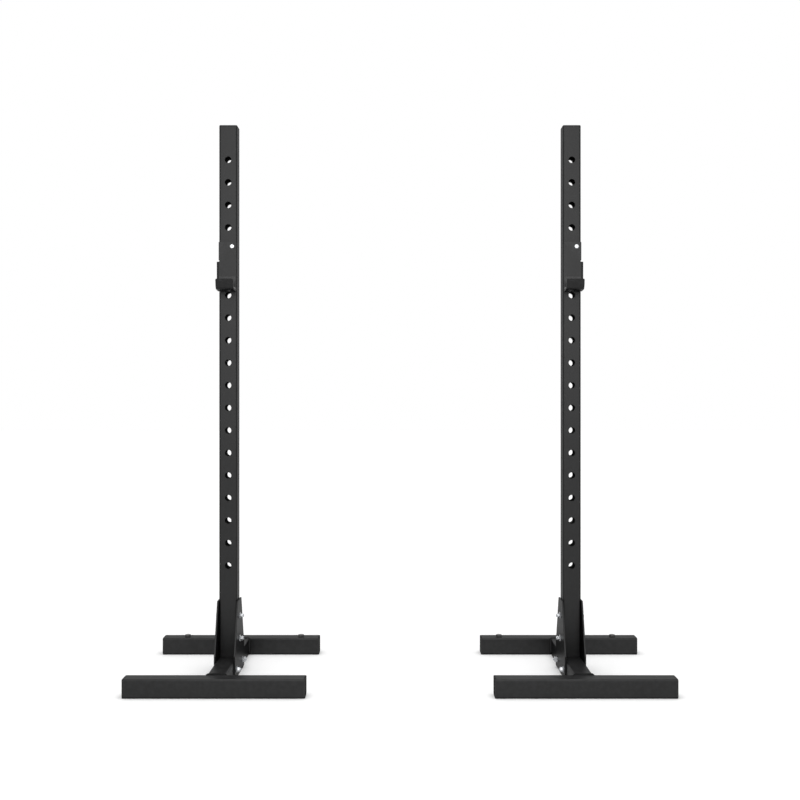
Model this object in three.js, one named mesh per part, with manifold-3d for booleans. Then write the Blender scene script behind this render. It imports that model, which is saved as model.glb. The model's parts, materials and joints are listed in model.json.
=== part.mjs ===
// A pair of free-standing squat stands. Each stand is a perforated square-tube upright, bolted between two
// gusset plates to a base of three tubes, with a pinned cup that hooks onto the front of the upright.
// Millimetres, +Z up. The cups face -Y. The origin is on the floor, midway between the two stands.

import * as THREE from 'three';
import { mergeVertices } from 'three/addons/utils/BufferGeometryUtils.js';
import Module from 'manifold-3d';

// Driving dimensions.

const stand = {
  height: 1829, // floor to the top of the upright's cap
  spacing: 1143, // between the centres of the two uprights
};

const section = {
  side: 60, // square steel tube, outside
  wall: 3,
  cornerRadius: 6,
};

const foot = {
  length: 562, // over both end caps
};

const runner = {
  length: 550, // between the two feet
};

const upright = {
  holeDiameter: 21,
  holePitch: 75,
  topHoleDrop: 115.5, // top of the stand to the centre of the first hole
  plainAboveGusset: 100, // left undrilled, at least
};

const gusset = {
  thickness: 5,
  topHeight: 248,
  topReach: 40, // from the upright's centre line to the top corners
  shoulderHeight: 78,
  shoulderReach: 108,
  floorGap: 2,
  cornerRadius: 5,
  upperBoltHeight: 193,
  lowerBoltHeight: 118,
  runnerBoltReach: 73,
};

const clampBolt = {
  diameter: 10,
  across: 15, // flats of the head and of the nut
  flangeWidth: 3.25, // beyond the flats, all round
  flangeHeight: 2.2,
  headHeight: 9,
  nutHeight: 10,
  tipLength: 4, // bolt end standing out of the nut
};

const footBolt = {
  diameter: 12,
  across: 18,
  headHeight: 7.2,
  shankLength: 26,
  outerInset: 86, // from the foot's end that lies away from the other stand
  innerInset: 67, // from the foot's end that lies towards the other stand
};

const insert = {
  wall: 1.9, // around the thread
  length: 20,
  collarWidth: 2,
  collarHeight: 5,
};

const cap = {
  flangeThickness: 4,
  edgeBevel: 1,
  plugDepth: 22,
  plugWall: 2.5,
};

const cup = {
  holeNumber: 4, // counted from zero at the top hole
  innerReach: 28, // from the pin's centre to the plate's edge that faces the other stand
  outerReach: 30, // and to its edge beside the wing
  plateThickness: 6,
  insideRadius: 10, // of the hook's two bends
  plateAbovePin: 26,
  floorBelowPin: 140.5, // pin centre to the underside of the floor, at the plate
  floorRise: 4, // from the plate to the lip, so that the load rolls back
  reach: 72, // upright's front face to the foot of the lip
  lipLean: 8, // how far the lip's top leans out from its foot
  lipHeight: 36, // underside of the floor at the plate to the top of the lip
  plateCornerRadius: 3,
  lipCornerRadius: 5,
};

const wing = {
  thickness: 6,
  insideRadius: 3,
  topBelowPin: 40,
  bottomAboveFloor: 18, // clear of the hook's bend
  depth: 46, // behind the upright's front face
  clearance: 1.5, // to the upright's side
  overlap: 18, // how far the flange's root runs into the plate
  cornerRadius: 9,
  reliefRadius: 2.5,
};

const pad = {
  thickness: 2.7,
  inset: 2, // from the edges of the cup's plate
  bottomAboveFloor: 22,
};

const liner = {
  thickness: 4,
  insideRadius: 6.5,
  backHeight: 44, // above its own underside, at the plate
  lipInset: 2, // below the top of the lip
  sideInset: 1,
};

const pin = {
  rearStandout: 12, // behind the upright
  endBevel: 2,
};

const padScrew = {
  headDiameter: 15,
  headHeight: 4.8,
  shankDiameter: 6,
  abovePin: 10.4,
  beside: 14.5, // from the pin, towards +X on both stands
  socketAcross: 4,
  socketDepth: 2.4,
};

const clearance = {
  running: 0.3, // between faces that slide on each other
  seat: 0.3, // around a plastic piece in its steel seat
  thread: 0.1, // around a thread in its nut, on the radius
  hole: 0.5, // around a bolt or pin in a drilled hole, on the radius
};

const overrun = 2; // how far every cutting tool runs past the metal
const weldDistance = 0.0001; // vertices closer than this are one vertex
const fastenerBevel = 0.8;

// Numbers of facets.
const cornerSteps = 3;
const bendSteps = 5;
const drillSides = 12;
const fastenerSides = 12;
const hiddenHoleSides = 8;
const hexSides = 6;

// Places worked out from the driving dimensions.

const half = section.side / 2;
const footLine = (runner.length + section.side) / 2; // centre line of each foot
const frontFace = -half; // the upright's front, in Y
const topHoleHeight = stand.height - upright.topHoleDrop;
const pinHeight = topHoleHeight - cup.holeNumber * upright.holePitch;
const cupFloor = pinHeight - cup.floorBelowPin;
const plateBack = clearance.running + pad.thickness; // in front of the upright's face
const plateFront = plateBack + cup.plateThickness;
const pinRadius = upright.holeDiameter / 2 - clearance.hole;
const clampHoleRadius = clampBolt.diameter / 2 + clearance.hole;
const insertRadius = footBolt.diameter / 2 + clearance.thread + insert.wall;

// Colours and finishes.

const finish = {
  powderCoat: { color: 0x17181a, roughness: 0.32, metalness: 0.1 },
  blackPlastic: { color: 0x1b1c1d, roughness: 0.55, metalness: 0 },
  linerPlastic: { color: 0x202122, roughness: 0.6, metalness: 0 },
  zinc: { color: 0xd4d6d8, roughness: 0.28, metalness: 1 },
  blackOxide: { color: 0x1d1e20, roughness: 0.4, metalness: 0.8 },
};

function material(name) {
  return new THREE.MeshStandardMaterial({ ...finish[name], flatShading: true });
}

// Axis frames: columns say where a shape's own x, y and z go.

const unitX = new THREE.Vector3(1, 0, 0);
const unitY = new THREE.Vector3(0, 1, 0);
const unitZ = new THREE.Vector3(0, 0, 1);
const minusY = new THREE.Vector3(0, -1, 0);
const minusX = new THREE.Vector3(-1, 0, 0);
const shapeAcrossX = new THREE.Matrix4().makeBasis(unitY, unitZ, unitX);
const shapeAcrossY = new THREE.Matrix4().makeBasis(unitX, unitZ, minusY);
const latheAlongZ = new THREE.Matrix4().makeBasis(unitY, unitZ, unitX);
const halfTurn = new THREE.Matrix4().makeBasis(minusX, minusY, unitZ);

// Solids.

const wasm = await Module();
wasm.setup();

function toSolid(geometry) {
  const bare = geometry.clone();
  bare.deleteAttribute('normal');
  bare.deleteAttribute('uv');
  const merged = mergeVertices(bare, weldDistance);
  return new wasm.Manifold(new wasm.Mesh({
    numProp: 3,
    vertProperties: merged.attributes.position.array,
    triVerts: new Uint32Array(merged.index.array),
  }));
}

function toGeometry(solid) {
  const mesh = solid.getMesh();
  const geometry = new THREE.BufferGeometry();
  geometry.setAttribute('position', new THREE.BufferAttribute(mesh.vertProperties, 3));
  geometry.setIndex(new THREE.BufferAttribute(mesh.triVerts, 1));
  return geometry;
}

function joined(geometries) {
  return toGeometry(geometries.map(toSolid).reduce((whole, next) => whole.add(next)));
}

function cut(geometry, tools) {
  return toGeometry(tools.map(toSolid).reduce((left, tool) => left.subtract(tool), toSolid(geometry)));
}

function common(first, second) {
  return toGeometry(toSolid(first).intersect(toSolid(second)));
}

// Outlines, as lists of points.

function point(x, y) {
  return new THREE.Vector2(x, y);
}

function circle(centre, radius, sides) {
  return Array.from({ length: sides }, (_, i) => {
    const angle = (2 * Math.PI * i) / sides;
    return point(centre.x + radius * Math.cos(angle), centre.y + radius * Math.sin(angle));
  });
}

function fillet(before, corner, after, radius, steps) {
  const toBefore = before.clone().sub(corner).normalize();
  const toAfter = after.clone().sub(corner).normalize();
  const halfAngle = Math.acos(toBefore.dot(toAfter)) / 2;
  const bisector = toBefore.clone().add(toAfter).normalize();
  const centre = corner.clone().addScaledVector(bisector, radius / Math.sin(halfAngle));
  const first = corner.clone().addScaledVector(toBefore, radius / Math.tan(halfAngle)).sub(centre);
  const last = corner.clone().addScaledVector(toAfter, radius / Math.tan(halfAngle)).sub(centre);
  const sweep = Math.atan2(first.cross(last), first.dot(last));
  const start = Math.atan2(first.y, first.x);
  const points = Array.from({ length: steps + 1 }, (_, i) => {
    const angle = start + (sweep * i) / steps;
    return point(centre.x + radius * Math.cos(angle), centre.y + radius * Math.sin(angle));
  });
  return { centre, points };
}

function roundedOutline(corners, radius) {
  const count = corners.length;
  return corners.flatMap((corner, i) => {
    const before = corners[(i + count - 1) % count];
    const after = corners[(i + 1) % count];
    return fillet(before, corner, after, radius, cornerSteps).points;
  });
}

function rectangle(left, bottom, right, top) {
  return [point(left, bottom), point(right, bottom), point(right, top), point(left, top)];
}

function squareAround(reach) {
  return rectangle(-reach, -reach, reach, reach);
}

// The tube's section, or the same drawn in from it.
function sectionOutline(inset) {
  const radius = Math.max(section.cornerRadius - inset, section.wall / 4);
  return roundedOutline(squareAround(half - inset), radius);
}

// A strip of even thickness. The path is its outer face, which is bent the same way at each corner.
function bentStrip(path, thickness, insideRadius) {
  const firstRun = path[1].clone().sub(path[0]);
  const secondRun = path[2].clone().sub(path[1]);
  const turn = Math.sign(firstRun.cross(secondRun));
  const inward = (from, to) => {
    const run = to.clone().sub(from).normalize();
    return point(-run.y * turn * thickness, run.x * turn * thickness);
  };
  const outsideRadius = insideRadius + thickness;
  const last = path.length - 1;
  const outside = [path[0]];
  const inside = [path[0].clone().add(inward(path[0], path[1]))];
  for (let i = 1; i < last; i += 1) {
    const bend = fillet(path[i - 1], path[i], path[i + 1], outsideRadius, bendSteps);
    outside.push(...bend.points);
    inside.push(...bend.points.map((p) => bend.centre.clone().lerp(p, insideRadius / outsideRadius)));
  }
  outside.push(path[last]);
  inside.push(path[last].clone().add(inward(path[last - 1], path[last])));
  return [...outside, ...inside.reverse()];
}

// Extrusions between two planes.

function extruded(outline, holes, length) {
  const shape = new THREE.Shape(outline);
  shape.holes = holes.map((hole) => new THREE.Path(hole));
  return new THREE.ExtrudeGeometry(shape, { depth: length, bevelEnabled: false });
}

function acrossX(outline, holes, from, to) {
  const geometry = extruded(outline, holes, Math.abs(to - from)).applyMatrix4(shapeAcrossX);
  return geometry.translate(Math.min(from, to), 0, 0);
}

function acrossY(outline, holes, from, to) {
  const geometry = extruded(outline, holes, Math.abs(to - from)).applyMatrix4(shapeAcrossY);
  return geometry.translate(0, Math.max(from, to), 0);
}

function acrossZ(outline, holes, from, to) {
  return extruded(outline, holes, Math.abs(to - from)).translate(0, 0, Math.min(from, to));
}

function revolved(profile, sides) {
  return new THREE.LatheGeometry(profile, sides);
}

// Rings of equal count stacked along Z, closed by a flat face at each end.
function stacked(rings) {
  const count = rings[0].outline.length;
  const positions = rings.flatMap((ring) => ring.outline.flatMap((p) => [p.x, p.y, ring.height]));
  const faces = [];
  for (let level = 0; level < rings.length - 1; level += 1) {
    for (let i = 0; i < count; i += 1) {
      const low = level * count + i;
      const nextLow = level * count + ((i + 1) % count);
      faces.push(low, nextLow, nextLow + count, low, nextLow + count, low + count);
    }
  }
  const top = (rings.length - 1) * count;
  for (let i = 1; i < count - 1; i += 1) {
    faces.push(0, i + 1, i, top, top + i, top + i + 1);
  }
  const geometry = new THREE.BufferGeometry();
  geometry.setAttribute('position', new THREE.Float32BufferAttribute(positions, 3));
  geometry.setIndex(faces);
  return geometry;
}

// Frame tubes.

// Places of the bolts on a gusset plate, as distances behind the upright's centre line and above the floor.
const clampPlaces = {
  upper: point(0, gusset.upperBoltHeight),
  lower: point(0, gusset.lowerBoltHeight),
  front: point(-gusset.runnerBoltReach, half),
  rear: point(gusset.runnerBoltReach, half),
};

function tubeWalls() {
  return { outline: sectionOutline(0), bore: sectionOutline(section.wall) };
}

function adjustmentHole(height) {
  const outline = circle(point(0, height), upright.holeDiameter / 2, drillSides);
  return acrossY(outline, [], -half - overrun, half + overrun);
}

function clampHole(place) {
  return acrossX(circle(place, clampHoleRadius, hiddenHoleSides), [], -half - overrun, half + overrun);
}

function adjustmentHoleHeights() {
  const drilledHeight = topHoleHeight - gusset.topHeight - upright.plainAboveGusset;
  const count = 1 + Math.floor(drilledHeight / upright.holePitch);
  return Array.from({ length: count }, (_, i) => topHoleHeight - i * upright.holePitch);
}

function uprightTube() {
  const { outline, bore } = tubeWalls();
  const tube = acrossZ(outline, [bore], section.side, stand.height - cap.flangeThickness);
  const clampHoles = [clampPlaces.upper, clampPlaces.lower].map(clampHole);
  return cut(tube, [...adjustmentHoleHeights().map(adjustmentHole), ...clampHoles]);
}

function runnerTube() {
  const { outline, bore } = tubeWalls();
  const tube = acrossY(outline, [bore], -runner.length / 2, runner.length / 2).translate(0, 0, half);
  return cut(tube, [clampPlaces.front, clampPlaces.rear].map(clampHole));
}

function footTube() {
  const { outline, bore } = tubeWalls();
  const reach = foot.length / 2 - cap.flangeThickness;
  return acrossX(outline, [bore], -reach, reach).translate(0, 0, half);
}

function drilledFootTube(side) {
  const radius = insertRadius + clearance.seat;
  const holes = Object.values(footBoltPlaces(side)).map((x) => {
    const outline = circle(point(x, 0), radius, fastenerSides);
    return acrossZ(outline, [], section.side - section.wall - overrun, section.side + overrun);
  });
  return cut(footTube(), holes);
}

// Plastic caps. A cap is made standing on a tube end at height zero, with its plug pointing down.

function tubeCap() {
  const flange = stacked([
    { outline: sectionOutline(0), height: 0 },
    { outline: sectionOutline(0), height: cap.flangeThickness - cap.edgeBevel },
    { outline: sectionOutline(cap.edgeBevel), height: cap.flangeThickness },
  ]);
  const plugReach = half - section.wall - clearance.seat;
  const hollowReach = plugReach - cap.plugWall;
  const plugOutline = roundedOutline(squareAround(plugReach), section.cornerRadius);
  const plug = acrossZ(plugOutline, [squareAround(hollowReach)], -cap.plugDepth, cap.edgeBevel);
  return joined([flange, plug]);
}

function uprightCap() {
  return tubeCap().translate(0, 0, stand.height - cap.flangeThickness);
}

function footCap(direction) {
  const turned = tubeCap().applyMatrix4(shapeAcrossX);
  const placed = turned.translate(foot.length / 2 - cap.flangeThickness, 0, half);
  return direction > 0 ? placed : placed.applyMatrix4(halfTurn);
}

// Gusset plates.

function gussetOutline() {
  return roundedOutline([
    point(-gusset.shoulderReach, gusset.floorGap),
    point(gusset.shoulderReach, gusset.floorGap),
    point(gusset.shoulderReach, gusset.shoulderHeight),
    point(gusset.topReach, gusset.topHeight),
    point(-gusset.topReach, gusset.topHeight),
    point(-gusset.shoulderReach, gusset.shoulderHeight),
  ], gusset.cornerRadius);
}

function gussetPlate(direction) {
  const holes = Object.values(clampPlaces).map((place) => circle(place, clampHoleRadius, hiddenHoleSides));
  return acrossX(gussetOutline(), holes, direction * half, direction * (half + gusset.thickness));
}

// Fasteners. Each is made along Z with its seat at height zero, and is then turned and moved to its place.

function hexBlock(across, height) {
  const cornerReach = across / Math.sqrt(3);
  const prism = acrossZ(circle(point(0, 0), cornerReach, hexSides), [], 0, height);
  const turnedBlank = revolved([
    point(0, 0),
    point(cornerReach, 0),
    point(cornerReach, height - fastenerBevel),
    point(across / 2, height),
    point(0, height),
  ], fastenerSides).applyMatrix4(latheAlongZ);
  return common(prism, turnedBlank);
}

function flangedHex(height) {
  const rim = clampBolt.across / 2 + clampBolt.flangeWidth;
  const flange = revolved([
    point(0, 0),
    point(rim, 0),
    point(rim, clampBolt.flangeHeight / 2),
    point(clampBolt.across / 2, clampBolt.flangeHeight),
    point(0, clampBolt.flangeHeight),
  ], fastenerSides).applyMatrix4(latheAlongZ);
  return joined([flange, hexBlock(clampBolt.across, height)]);
}

// Runs down from the seat, and up into the head.
function shank(diameter, length) {
  const radius = diameter / 2;
  return revolved([
    point(0, -length),
    point(radius - fastenerBevel, -length),
    point(radius, fastenerBevel - length),
    point(radius, fastenerBevel),
    point(0, fastenerBevel),
  ], fastenerSides).applyMatrix4(latheAlongZ);
}

function throughBolt() {
  const grip = section.side + 2 * gusset.thickness;
  const length = grip + clampBolt.nutHeight + clampBolt.tipLength;
  return joined([flangedHex(clampBolt.headHeight), shank(clampBolt.diameter, length)]);
}

function flangeNut() {
  const thread = circle(point(0, 0), clampBolt.diameter / 2 + clearance.thread, fastenerSides);
  return cut(flangedHex(clampBolt.nutHeight), [acrossZ(thread, [], -overrun, clampBolt.nutHeight + overrun)]);
}

function seatedOnGusset(fastener, direction, place) {
  const turned = fastener.applyMatrix4(shapeAcrossX).translate(half + gusset.thickness, 0, 0);
  const facing = direction > 0 ? turned : turned.applyMatrix4(halfTurn);
  return facing.translate(0, place.x, place.y);
}

function footBoltPlaces(side) {
  const reach = foot.length / 2;
  return { outer: side * (reach - footBolt.outerInset), inner: side * (footBolt.innerInset - reach) };
}

function seatedOnFoot(fastener, x) {
  return fastener.translate(x, 0, section.side);
}

function topBolt() {
  const head = hexBlock(footBolt.across, footBolt.headHeight);
  return joined([head, shank(footBolt.diameter, footBolt.shankLength)]);
}

// A threaded insert, flush with the top of the tube, with the collar that grips the wall from below.
function threadedInsert() {
  const bore = insertRadius - insert.wall;
  const collarRadius = insertRadius + insert.collarWidth;
  return revolved([
    point(bore, -insert.length),
    point(insertRadius, -insert.length),
    point(insertRadius, -section.wall - insert.collarHeight),
    point(collarRadius, -section.wall - insert.collarHeight),
    point(collarRadius, -section.wall),
    point(insertRadius, -section.wall),
    point(insertRadius, 0),
    point(bore, 0),
    point(bore, -insert.length),
  ], fastenerSides).applyMatrix4(latheAlongZ);
}

// The cup: a bent plate with a wing that hugs the outer side of the upright. Places are counted forward from
// the upright's front face and up from the floor. A cup's outer side is the one away from the other stand.

function forward(distance) {
  return frontFace - distance;
}

function strip(stations) {
  return stations.map(([distance, height]) => point(forward(distance), height));
}

// The hook's outer face: down the plate, forward under the floor and up the lip.
function hookPath() {
  return strip([
    [plateBack, pinHeight + cup.plateAbovePin],
    [plateBack, cupFloor],
    [cup.reach, cupFloor + cup.floorRise],
    [cup.reach + cup.lipLean, cupFloor + cup.lipHeight],
  ]);
}

// The plate's edges as [low, high] in X, both drawn in by the same amount.
function plateSpan(side, inset) {
  const edges = [-side * (cup.innerReach - inset), side * (cup.outerReach - inset)];
  return edges.sort((a, b) => a - b);
}

function cupHook(side) {
  const outline = bentStrip(hookPath(), cup.plateThickness, cup.insideRadius);
  return acrossX(outline, [], ...plateSpan(side, 0));
}

// What a round corner leaves of its square, as a tool that runs through a plate from front to back.
function cornerTool(edge, direction, top, radius, near, far) {
  const outerX = edge + direction * overrun;
  const innerX = edge - direction * radius;
  const round = fillet(point(innerX, top), point(edge, top), point(edge, top - radius), radius, bendSteps);
  const outline = [
    ...round.points,
    point(outerX, top - radius),
    point(outerX, top + overrun),
    point(innerX, top + overrun),
  ];
  return acrossY(outline, [], forward(near - overrun), forward(far + overrun));
}

function cupCornerTools(side) {
  const plateTop = pinHeight + cup.plateAbovePin;
  const lipSlope = Math.atan2(cup.lipLean, cup.lipHeight - cup.floorRise);
  const lipTop = cupFloor + cup.lipHeight + cup.plateThickness * Math.sin(lipSlope);
  const lipBack = cup.reach - cup.plateThickness;
  const [low, high] = plateSpan(side, 0);
  return [[low, -1], [high, 1]].flatMap(([edge, direction]) => [
    cornerTool(edge, direction, plateTop, cup.plateCornerRadius, plateBack, plateFront),
    cornerTool(edge, direction, lipTop, cup.lipCornerRadius, lipBack, cup.reach + cup.lipLean),
  ]);
}

function wingHeights() {
  return { bottom: cupFloor + wing.bottomAboveFloor, top: pinHeight - wing.topBelowPin };
}

function cupWing(side) {
  const outer = side * (half + wing.clearance + wing.thickness);
  const root = side * (cup.outerReach - wing.overlap);
  const path = [
    point(root, forward(plateFront)),
    point(outer, forward(plateFront)),
    point(outer, forward(-wing.depth)),
  ];
  const heights = wingHeights();
  const bent = bentStrip(path, wing.thickness, wing.insideRadius);
  const flange = acrossZ(bent, [], heights.bottom, heights.top);
  const hiddenEnd = forward(plateFront + wing.cornerRadius + overrun);
  const sideView = roundedOutline(
    rectangle(hiddenEnd, heights.bottom, forward(-wing.depth), heights.top),
    wing.cornerRadius,
  );
  return common(flange, acrossX(sideView, [], root - side * overrun, outer + side * overrun));
}

// A round notch in the plate's edge, where the bend of the wing ends.
function reliefTool(side) {
  const place = point(side * cup.outerReach, wingHeights().top + wing.reliefRadius);
  const outline = circle(place, wing.reliefRadius, drillSides);
  return acrossY(outline, [], forward(plateBack - overrun), forward(plateFront + overrun));
}

function padScrewPlace() {
  return point(padScrew.beside, pinHeight + padScrew.abovePin);
}

function padScrewDrill(from, to) {
  const place = padScrewPlace();
  const outline = circle(place, padScrew.shankDiameter / 2 + clearance.hole, drillSides);
  return acrossY(outline, [], forward(from - overrun), forward(to + overrun));
}

function cupBracket(side) {
  const body = joined([cupHook(side), cupWing(side)]);
  return cut(body, [...cupCornerTools(side), reliefTool(side), padScrewDrill(plateBack, plateFront)]);
}

// The liner lies in the hook all the way round, so its outer face is the hook's, drawn in.
function cupLiner(side) {
  const [plateTop, heel, toe, lipTop] = hookPath();
  const drawnIn = cup.plateThickness + clearance.seat;
  const innerHeel = fillet(plateTop, heel, toe, drawnIn, 1).centre;
  const innerToe = fillet(heel, toe, lipTop, drawnIn, 1).centre;
  const upTheLip = lipTop.clone().sub(toe).normalize();
  const lipRun = (cupFloor + cup.lipHeight - liner.lipInset - innerToe.y) / upTheLip.y;
  const path = [
    point(innerHeel.x, innerHeel.y + liner.backHeight),
    innerHeel,
    innerToe,
    innerToe.clone().addScaledVector(upTheLip, lipRun),
  ];
  const outline = bentStrip(path, liner.thickness, liner.insideRadius);
  return acrossX(outline, [], ...plateSpan(side, liner.sideInset));
}

// The sheet between the cup's plate and the upright, which saves the paint.
function cupPad(side) {
  const [left, right] = plateSpan(side, pad.inset);
  const top = pinHeight + cup.plateAbovePin - pad.inset;
  const bottom = cupFloor + pad.bottomAboveFloor;
  const outline = roundedOutline(rectangle(left, bottom, right, top), cup.plateCornerRadius);
  const pinEye = circle(point(0, pinHeight), upright.holeDiameter / 2, drillSides);
  const sheet = acrossY(outline, [pinEye], forward(clearance.running), forward(plateBack));
  return cut(sheet, [padScrewDrill(clearance.running, plateBack)]);
}

// Welded to the back of the plate, through the upright from front to back.
function cupPin() {
  const length = plateBack + section.side + pin.rearStandout;
  const profile = [
    point(0, 0),
    point(pinRadius, 0),
    point(pinRadius, length - pin.endBevel),
    point(pinRadius - pin.endBevel, length),
    point(0, length),
  ];
  return revolved(profile, drillSides).translate(0, forward(plateBack), pinHeight);
}

// A button head in front of the plate, with its shank through the plate and into the pad.
function cupScrew() {
  const headRadius = padScrew.headDiameter / 2;
  const shankRadius = padScrew.shankDiameter / 2;
  const shankEnd = plateFront - clearance.running - pad.thickness / 2;
  const dome = Array.from({ length: cornerSteps + 1 }, (_, i) => {
    const angle = (Math.PI / 2) * (i / cornerSteps);
    const rise = padScrew.headHeight - fastenerBevel;
    return point(headRadius * Math.cos(angle), fastenerBevel + rise * Math.sin(angle));
  });
  dome[cornerSteps].x = 0;
  const profile = [
    point(0, -shankEnd),
    point(shankRadius, -shankEnd),
    point(shankRadius, 0),
    point(headRadius, 0),
    ...dome,
  ];
  const socketRadius = padScrew.socketAcross / Math.sqrt(3);
  const socket = acrossZ(
    circle(point(0, 0), socketRadius, hexSides),
    [],
    padScrew.headHeight - padScrew.socketDepth,
    padScrew.headHeight + overrun,
  );
  const screw = cut(revolved(profile, fastenerSides).applyMatrix4(latheAlongZ), [socket]);
  const place = padScrewPlace();
  return screw.applyMatrix4(shapeAcrossY).translate(place.x, forward(plateFront), place.y);
}

// Assembly.

function piece(name, geometry, finishName) {
  const mesh = new THREE.Mesh(geometry, material(finishName));
  mesh.name = name;
  return mesh;
}

function base(name, side) {
  const front = new THREE.Group();
  front.position.y = -footLine;
  front.add(piece(`${name}_front_foot`, footTube(), 'powderCoat'));
  front.add(piece(`${name}_front_foot_outer_cap`, footCap(side), 'blackPlastic'));
  front.add(piece(`${name}_front_foot_inner_cap`, footCap(-side), 'blackPlastic'));

  const rear = new THREE.Group();
  rear.position.y = footLine;
  rear.add(piece(`${name}_rear_foot`, drilledFootTube(side), 'powderCoat'));
  rear.add(piece(`${name}_rear_foot_outer_cap`, footCap(side), 'blackPlastic'));
  rear.add(piece(`${name}_rear_foot_inner_cap`, footCap(-side), 'blackPlastic'));
  for (const [place, x] of Object.entries(footBoltPlaces(side))) {
    rear.add(piece(`${name}_rear_foot_${place}_insert`, seatedOnFoot(threadedInsert(), x), 'zinc'));
    rear.add(piece(`${name}_rear_foot_${place}_bolt`, seatedOnFoot(topBolt(), x), 'blackOxide'));
  }

  const group = new THREE.Group();
  group.add(front, rear, piece(`${name}_runner`, runnerTube(), 'powderCoat'));
  return group;
}

function column(name, side) {
  const group = new THREE.Group();
  group.add(piece(`${name}_upright`, uprightTube(), 'powderCoat'));
  group.add(piece(`${name}_upright_cap`, uprightCap(), 'blackPlastic'));
  group.add(piece(`${name}_outer_gusset`, gussetPlate(side), 'powderCoat'));
  group.add(piece(`${name}_inner_gusset`, gussetPlate(-side), 'powderCoat'));
  for (const [spot, place] of Object.entries(clampPlaces)) {
    group.add(piece(`${name}_gusset_${spot}_bolt`, seatedOnGusset(throughBolt(), side, place), 'zinc'));
    group.add(piece(`${name}_gusset_${spot}_nut`, seatedOnGusset(flangeNut(), -side, place), 'zinc'));
  }
  return group;
}

function cupAssembly(name, side) {
  const group = new THREE.Group();
  group.add(piece(`${name}_cup_bracket`, cupBracket(side), 'powderCoat'));
  group.add(piece(`${name}_cup_liner`, cupLiner(side), 'linerPlastic'));
  group.add(piece(`${name}_cup_pad`, cupPad(side), 'linerPlastic'));
  group.add(piece(`${name}_cup_pin`, cupPin(), 'zinc'));
  group.add(piece(`${name}_cup_screw`, cupScrew(), 'zinc'));
  return group;
}

const squatStands = new THREE.Group();
for (const [name, side] of [['left', -1], ['right', 1]]) {
  const group = new THREE.Group();
  group.position.x = side * stand.spacing / 2;
  group.add(base(name, side), column(name, side), cupAssembly(name, side));
  squatStands.add(group);
}

export default squatStands;
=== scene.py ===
import json
import math

import bmesh
import bpy
from mathutils import Matrix, Vector


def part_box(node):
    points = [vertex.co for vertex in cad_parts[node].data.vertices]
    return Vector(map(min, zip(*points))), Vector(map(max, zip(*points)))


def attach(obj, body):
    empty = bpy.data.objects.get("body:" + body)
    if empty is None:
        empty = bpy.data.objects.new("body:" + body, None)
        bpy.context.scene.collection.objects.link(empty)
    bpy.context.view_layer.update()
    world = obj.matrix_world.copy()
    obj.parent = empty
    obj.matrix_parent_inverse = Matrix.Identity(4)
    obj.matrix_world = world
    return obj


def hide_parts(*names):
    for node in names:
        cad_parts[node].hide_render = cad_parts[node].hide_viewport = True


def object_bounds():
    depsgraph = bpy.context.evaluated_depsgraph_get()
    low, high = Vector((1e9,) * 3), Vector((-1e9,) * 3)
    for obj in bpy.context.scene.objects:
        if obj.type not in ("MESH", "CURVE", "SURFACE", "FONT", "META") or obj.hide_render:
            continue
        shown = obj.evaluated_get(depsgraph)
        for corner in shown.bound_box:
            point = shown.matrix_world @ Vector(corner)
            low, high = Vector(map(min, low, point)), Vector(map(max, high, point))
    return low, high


# A pair of squat stands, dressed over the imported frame. Metres, +Z up, cups towards -Y.

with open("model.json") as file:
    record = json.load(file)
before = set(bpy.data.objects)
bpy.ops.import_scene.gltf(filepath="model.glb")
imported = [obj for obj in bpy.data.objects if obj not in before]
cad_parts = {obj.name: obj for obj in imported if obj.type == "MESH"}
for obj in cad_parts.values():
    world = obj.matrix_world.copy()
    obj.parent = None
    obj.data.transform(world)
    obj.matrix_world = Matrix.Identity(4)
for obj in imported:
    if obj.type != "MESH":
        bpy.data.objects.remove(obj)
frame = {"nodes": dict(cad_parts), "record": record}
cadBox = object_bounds()
mm = 0.001
stands = {"left": -1, "right": 1}  # which way each stand's outer side faces along X

# Camera, at the photograph's angle

camera = {
    "distance": 3.847,  # in front of the stands' centre line
    "height": 0.9146,
    "focalPixels": 1148.2,
    "pictureWidth": 800,  # pixels
    "sensor": 36.0,
}


def placeCamera():
    data = bpy.data.cameras.new("camera")
    data.sensor_width = camera["sensor"]
    data.lens = camera["sensor"] * camera["focalPixels"] / camera["pictureWidth"]
    eye = bpy.data.objects.new("camera", data)
    eye.location = (0, -camera["distance"], camera["height"])
    eye.rotation_euler = (math.radians(90), 0, 0)
    bpy.context.scene.collection.objects.link(eye)
    bpy.context.scene.camera = eye


placeCamera()
print("stage: camera placed")

# Flat outlines

cornerSteps = 8  # straight pieces in a rounded corner
bendSteps = 10  # and in a bend of sheet metal or a corner cut off it


def circleOutline(centre, radius, count):
    turns = [2 * math.pi * step / count for step in range(count)]
    return [Vector((centre[0] + radius * math.cos(turn), centre[1] + radius * math.sin(turn)))
            for turn in turns]


def filletAt(before, corner, after, radius, steps):
    toBefore = (before - corner).normalized()
    toAfter = (after - corner).normalized()
    halfAngle = math.acos(max(-1.0, min(1.0, toBefore.dot(toAfter)))) / 2
    centre = corner + (toBefore + toAfter).normalized() * (radius / math.sin(halfAngle))
    first = corner + toBefore * (radius / math.tan(halfAngle)) - centre
    last = corner + toAfter * (radius / math.tan(halfAngle)) - centre
    sweep = math.atan2(first.x * last.y - first.y * last.x, first.dot(last))
    start = math.atan2(first.y, first.x)
    turns = [start + sweep * step / steps for step in range(steps + 1)]
    return centre, [centre + Vector((math.cos(turn), math.sin(turn))) * radius for turn in turns]


def roundedOutline(corners, radius):
    points = []
    for index, corner in enumerate(corners):
        before = corners[index - 1]
        after = corners[(index + 1) % len(corners)]
        points += filletAt(before, corner, after, radius, cornerSteps)[1]
    return points


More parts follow.
